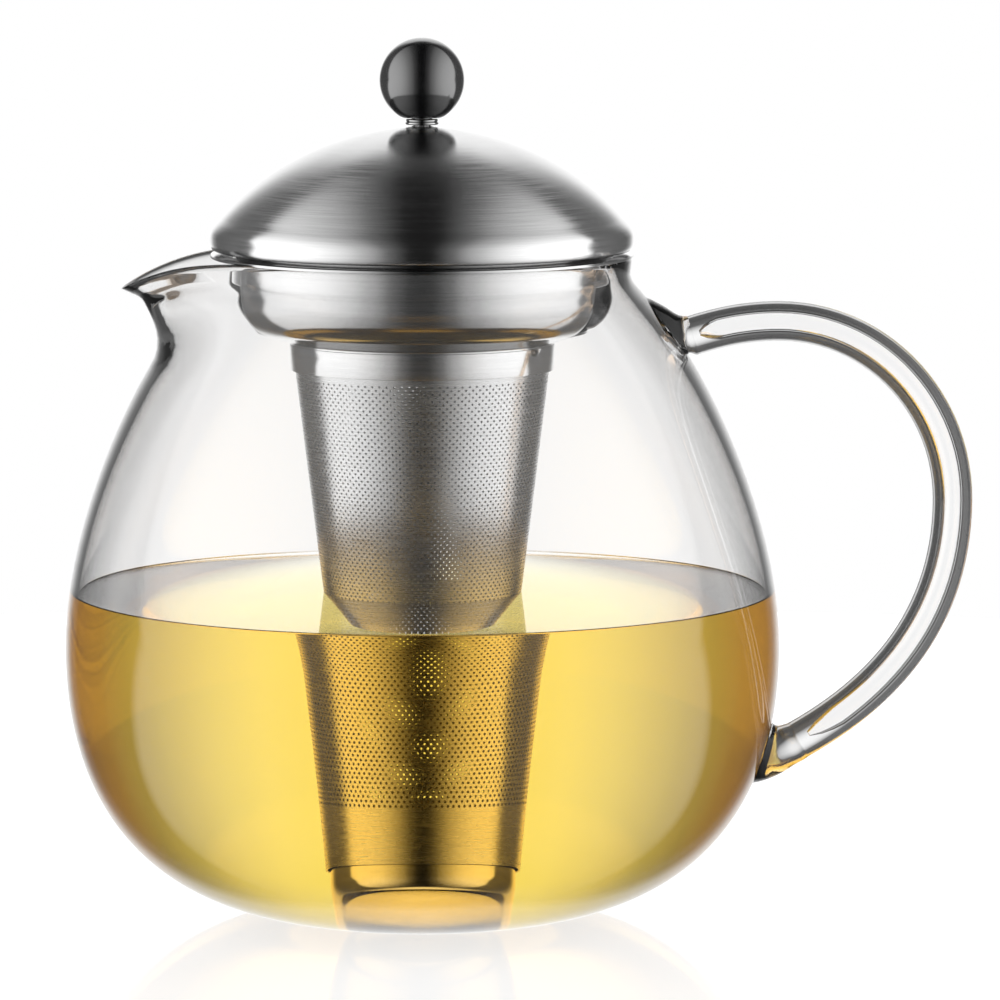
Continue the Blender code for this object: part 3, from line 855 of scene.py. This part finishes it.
def moulded_phenolic():
    """Phenolic ball, compression moulded and tumbled bright: deep black with a soft gloss."""
    made, tree, shader = new_material("moulded phenolic", IOR=2.0, Specular_IOR_Level=0.8, Coat_Weight=1.0)
    place = add(tree, "ShaderNodeTexCoord", {}).outputs["Object"]
    cloud = add(tree, "ShaderNodeTexNoise", {"Vector": place, "Scale": 1 / (3 * MM), "Detail": 4.0})
    colours = {0: cloud.outputs["Fac"], 6: linear("#08080A"), 7: linear("#121214")}
    tint = add(tree, "ShaderNodeMix", colours, data_type="RGBA")
    tree.links.new(tint.outputs[2], shader.inputs["Base Color"])
    set_roughness(tree, shader, cloud.outputs["Fac"], 0.13, 0.19)
    return made


def turned_brass():
    """Free-cutting brass, turned on an automatic lathe: warm yellow with fine tool lines."""
    # the tool lines' top colour, then the darker colour of their bottoms, which is painted groove shade
    return worked_metal("turned brass", "#D9B76A", "#B48F45", 0.28, pitch=0.3, breaks=1.0, depth=0.3)


# Studio ------------------------------------------------------------------------------------


# The nodes that make the light, and how a Mix node joins two levels
RAMP = "ShaderNodeValToRGB"
MIX = "ShaderNodeMix"
BLENDED = {"data_type": "RGBA", "blend_type": "MIX"}
MULTIPLIED = {"data_type": "RGBA", "blend_type": "MULTIPLY"}
ADDED = {"data_type": "RGBA", "blend_type": "ADD"}

# Light levels of the room: by how far the way leans sideways, by how far it leans back, and by the slope
# across and up of a way to the back wall. Slopes are halved, to fit a ramp.
BOX_LEAN_UP = 0.47  # how much further back a softbox ends for a way that rises or falls
BOX_LEAN_ASIDE = 0.15
SHALLOWEST_WAY = 0.05  # keeps the slopes from dividing by nothing
SECOND_MIRROR = (0.35, 0.35, 0.35, 1.0)  # what is left after steel mirrors steel
TEA_CROSSINGS = 4.5  # more surfaces crossed than this means that the way went through tea
WALL_CROSSINGS = 2.0  # in and out of one wall
SIDE_BOXES = [
    (0, 0.012), (0.11, 0.016), (0.17, 0.05), (0.31, 0.16), (0.42, 0.4), (0.54, 0.6), (0.64, 0.85),
    (0.85, 1.3), (1, 1.5),
]
BOX_BACK_EDGE = [(0.0, 1.0), (0.03, 0.8), (0.08, 0.12), (1.0, 0.06)]
WALL_FRONT_EDGE = [(0.0, 0.0), (0.35, 0.0), (0.5, 1.0), (1.0, 1.0)]
WALL_ACROSS = [(0.0, 1.2), (0.14, 1.0), (0.23, 0.3), (0.32, 0.08), (0.5, 0.05), (1.0, 0.02)]
WALL_UP = [(0.0, 1.0), (0.45, 1.0), (0.6, 0.12), (1.0, 0.0)]

# Seen through the tea and through bare glass, by degrees away from straight back, over 180
BEHIND_TEA = [
    (0 / 180, (1.5, 1.5, 1.5)), (12 / 180, (1.35, 1.35, 1.35)), (17 / 180, (1.12, 1.12, 1.12)),
    (21 / 180, (0.92, 0.9, 0.85)), (26 / 180, (0.7, 0.67, 0.55)), (32 / 180, (0.52, 0.46, 0.32)),
    (40 / 180, (0.5, 0.33, 0.15)), (57 / 180, (0.5, 0.25, 0.05)), (70 / 180, (0.35, 0.16, 0.03)),
    (82 / 180, (1.3, 1.3, 1.3)), (98 / 180, (1.3, 1.3, 1.3)), (112 / 180, (0.35, 0.16, 0.03)),
    (140 / 180, (0.5, 0.33, 0.15)), (160 / 180, (1.0, 1.0, 0.95)), (180 / 180, (1.5, 1.5, 1.5)),
]
TEA_UP = [(0.0, 1.0), (0.3, 1.0), (0.47, 0.72), (0.62, 0.45), (1.0, 0.3)]
TEA_WARMTH = (1.5, 1.15, 0.85, 1.0)  # on steel under the tea
BRIGHTEST = 2.0

# Light that runs along inside a glass wall and makes its rims, by how straight back the way goes
GLASS_EDGE = [
    (0.0, 0.8), (0.12, 0.5), (0.2, 0.06), (0.36, 0.05), (0.47, 0.75), (0.56, 0.6), (0.64, 0.07), (0.82, 0.05),
    (0.9, 0.09), (0.97, 0.11), (1.0, 0.16),
]
THROUGH_WALL = [*GLASS_EDGE[:8], (0.93, 0.1), (0.985, 0.85), (1.0, 1.0)]
BEHIND_GLASS = [(0, 1.0), (44 / 180, 1.0), (52 / 180, 0.12), (66 / 180, 0.12), (74 / 180, 1.0), (1, 1.0)]


def darkened(stops):
    """Stops divided by BRIGHTEST, which is the world's strength, because a ramp holds no level above 1."""
    return [(place, level_share(level)) for place, level in stops]


def level_share(level):
    return tuple(part / BRIGHTEST for part in level) if isinstance(level, tuple) else level / BRIGHTEST


def light_on_steel(tree, x, y, z):
    """What steel mirrors: a tall softbox at each side, slanted at its back edge, and the pale back wall."""
    aside = add(tree, "ShaderNodeMath", {0: x}, operation="ABSOLUTE").outputs[0]
    steep = add(tree, "ShaderNodeMath", {0: z}, operation="ABSOLUTE").outputs[0]
    lean = add(tree, "ShaderNodeMath", {0: steep, 1: BOX_LEAN_UP}, operation="MULTIPLY").outputs[0]
    slanting = {0: aside, 1: BOX_LEAN_ASIDE, 2: lean}
    slant = add(tree, "ShaderNodeMath", slanting, operation="MULTIPLY_ADD").outputs[0]
    past = add(tree, "ShaderNodeMath", {0: y, 1: slant}, operation="SUBTRACT").outputs[0]
    sides = add(tree, RAMP, {"Fac": aside}, darkened(SIDE_BOXES)).outputs["Color"]
    back_edge = add(tree, RAMP, {"Fac": past}, BOX_BACK_EDGE).outputs["Color"]
    boxes = add(tree, MIX, {0: 1.0, 6: sides, 7: back_edge}, **MULTIPLIED).outputs[2]
    depth = add(tree, "ShaderNodeMath", {0: y, 1: SHALLOWEST_WAY}, operation="MAXIMUM").outputs[0]
    twice = add(tree, "ShaderNodeMath", {0: depth, 1: 2.0}, operation="MULTIPLY").outputs[0]
    across = add(tree, "ShaderNodeMath", {0: aside, 1: twice}, operation="DIVIDE").outputs[0]
    up = add(tree, "ShaderNodeMath", {0: z, 1: twice}, operation="DIVIDE").outputs[0]
    wall_across = add(tree, RAMP, {"Fac": across}, darkened(WALL_ACROSS)).outputs["Color"]
    wall_up = add(tree, RAMP, {"Fac": up}, WALL_UP).outputs["Color"]
    front_edge = add(tree, RAMP, {"Fac": y}, WALL_FRONT_EDGE).outputs["Color"]
    wall = add(tree, MIX, {0: 1.0, 6: wall_across, 7: wall_up}, **MULTIPLIED).outputs[2]
    wall = add(tree, MIX, {0: 1.0, 6: wall, 7: front_edge}, **MULTIPLIED).outputs[2]
    return add(tree, MIX, {0: 1.0, 6: boxes, 7: wall}, **ADDED).outputs[2]


def turn_from_back(tree, x, y):
    """How far a way turns from straight back, level, from 0 to 1 for straight to the front."""
    level_way = add(tree, "ShaderNodeCombineXYZ", {0: x, 1: y})
    unit = add(tree, "ShaderNodeVectorMath", {0: level_way.outputs[0]}, operation="NORMALIZE")
    level_y = add(tree, "ShaderNodeSeparateXYZ", {0: unit.outputs[0]}).outputs["Y"]
    turn = add(tree, "ShaderNodeMath", {0: level_y}, operation="ARCCOSINE").outputs[0]
    return add(tree, "ShaderNodeMath", {0: turn, 1: 1 / math.pi}, operation="MULTIPLY").outputs[0]


def light_studio():
    """A white studio: a pale back wall, a tall softbox at each side, and the dark room between them.

    What steel reflects and what shows through the glass are lit apart, as with masked exposures of one set.
    Glossy and Diffuse Depth tell what is reflected, and Transmission Depth tells tea from bare glass by its
    walls. These levels were matched from the front, and hold for every view."""
    world = bpy.data.worlds.new("studio")
    bpy.context.scene.world = world
    world.use_nodes = True
    world.cycles.sampling_method = "NONE"  # depths are right only on paths that reach the world themselves
    tree = world.node_tree
    way = add(tree, "ShaderNodeTexCoord", {}).outputs["Generated"]
    x, y, z = add(tree, "ShaderNodeSeparateXYZ", {0: way}).outputs
    path = add(tree, "ShaderNodeLightPath", {})
    walls = path.outputs["Transmission Depth"]
    mirrors = path.outputs["Glossy Depth"]
    tea_path = add(tree, "ShaderNodeMath", {0: walls, 1: TEA_CROSSINGS}, operation="GREATER_THAN").outputs[0]
    one_wall = {0: walls, 1: WALL_CROSSINGS, 2: 0.5}
    wall_path = add(tree, "ShaderNodeMath", one_wall, operation="COMPARE").outputs[0]
    bounces = add(tree, "ShaderNodeMath", {0: mirrors, 1: path.outputs["Diffuse Depth"]}).outputs[0]
    reflected = add(tree, "ShaderNodeMath", {0: bounces, 1: 0.5}, operation="GREATER_THAN").outputs[0]
    again = add(tree, "ShaderNodeMath", {0: mirrors, 1: 1.5}, operation="GREATER_THAN").outputs[0]
    rims = add(tree, RAMP, {"Fac": y}, darkened(GLASS_EDGE)).outputs["Color"]
    through_wall = add(tree, RAMP, {"Fac": y}, darkened(THROUGH_WALL)).outputs["Color"]

    room = light_on_steel(tree, x, y, z)
    room = add(tree, MIX, {0: again, 6: room, 7: SECOND_MIRROR}, **MULTIPLIED).outputs[2]
    in_tea = add(tree, MIX, {0: tea_path, 6: room, 7: TEA_WARMTH}, **MULTIPLIED).outputs[2]
    mirrored = add(tree, MIX, {0: wall_path, 6: in_tea, 7: rims}, **BLENDED).outputs[2]

    share = turn_from_back(tree, x, y)
    behind_tea = add(tree, RAMP, {"Fac": share}, darkened(BEHIND_TEA)).outputs["Color"]
    tea_up = add(tree, RAMP, {"Fac": z}, TEA_UP).outputs["Color"]
    behind_tea = add(tree, MIX, {0: 1.0, 6: behind_tea, 7: tea_up}, **MULTIPLIED).outputs[2]
    behind_glass = add(tree, RAMP, {"Fac": share}, darkened(BEHIND_GLASS)).outputs["Color"]
    through = add(tree, MIX, {0: tea_path, 6: behind_glass, 7: behind_tea}, **BLENDED).outputs[2]
    backdrop = (*(level_share(1.0),) * 3, 1.0)
    seen = add(tree, MIX, {0: path.outputs["Is Camera Ray"], 6: through, 7: backdrop}, **BLENDED).outputs[2]
    seen = add(tree, MIX, {0: wall_path, 6: seen, 7: through_wall}, **BLENDED).outputs[2]

    light = add(tree, MIX, {0: reflected, 6: seen, 7: mirrored}, **BLENDED).outputs[2]
    background = tree.nodes["Background"]
    background.inputs["Strength"].default_value = BRIGHTEST
    tree.links.new(light, background.inputs["Color"])


def make_floor():
    """A round of white acrylic sheet, a hair below the foot, with a soft sheen and light of its own."""
    bm = bmesh.new()
    lowered = Matrix.Translation((0, 0, -0.05 * MM))
    bmesh.ops.create_circle(bm, segments=96, radius=0.5, cap_ends=True, matrix=lowered)
    mesh = bpy.data.meshes.new("table_top")
    bm.to_mesh(mesh)
    bm.free()
    look, _, shader = new_material("white acrylic sheet", Roughness=0.05, IOR=1.45)
    shader.inputs["Base Color"].default_value = linear("#F4F4F4")
    shader.inputs["Emission Color"].default_value = linear("#FFFFFF")
    shader.inputs["Emission Strength"].default_value = 0.7
    mesh.materials.append(look)
    floor = bpy.data.objects.new("table_top", mesh)
    bpy.context.scene.collection.objects.link(floor)
    floor.visible_glossy = False
    floor.visible_transmission = False


def set_camera():
    """A long lens 1.55 m away and above the lid, aimed a little down, past the pot's axis."""
    aim_x = 16.9
    data = bpy.data.cameras.new("camera")
    data.lens = 257.9
    data.sensor_width = 36.0
    data.clip_start = 0.05
    camera = bpy.data.objects.new("camera", data)
    camera.location = Vector((aim_x, -1550.0, 275.7)) * MM
    aim = Vector((aim_x, 0.0, 90.9)) * MM
    camera.rotation_euler = (aim - camera.location).to_track_quat("-Z", "Y").to_euler()
    bpy.context.scene.collection.objects.link(camera)
    bpy.context.scene.camera = camera


def set_light_paths():
    """Enough bounces for light to cross both walls, the tea and the sleeve."""
    scene = bpy.context.scene
    scene.view_settings.view_transform = "Standard"
    scene.cycles.max_bounces = 28
    scene.cycles.transmission_bounces = 24
    scene.cycles.glossy_bounces = 10
    scene.cycles.sample_clamp_indirect = 6.0


def refinish(nodes, look):
    """Gives CAD nodes that stay as they are a better material."""
    for node in nodes:
        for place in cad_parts[node].material_slots:
            place.material = look


def main():
    set_camera()
    light_studio()
    make_floor()
    set_light_paths()
    bright = rolled_steel()
    make_pot(blown_glass())
    make_tea(green_tea())
    make_cup(bright)
    make_sleeve(etched_steel())
    make_basket_ends(bright)
    make_lid(brushed_steel(), bright)
    make_knob(moulded_phenolic(), polished_steel())
    refinish(("knob_screw", "spring_washer", "flat_washer"), headed_steel())
    refinish(("knob_insert",), turned_brass())


main()
bpy.context.view_layer.update()
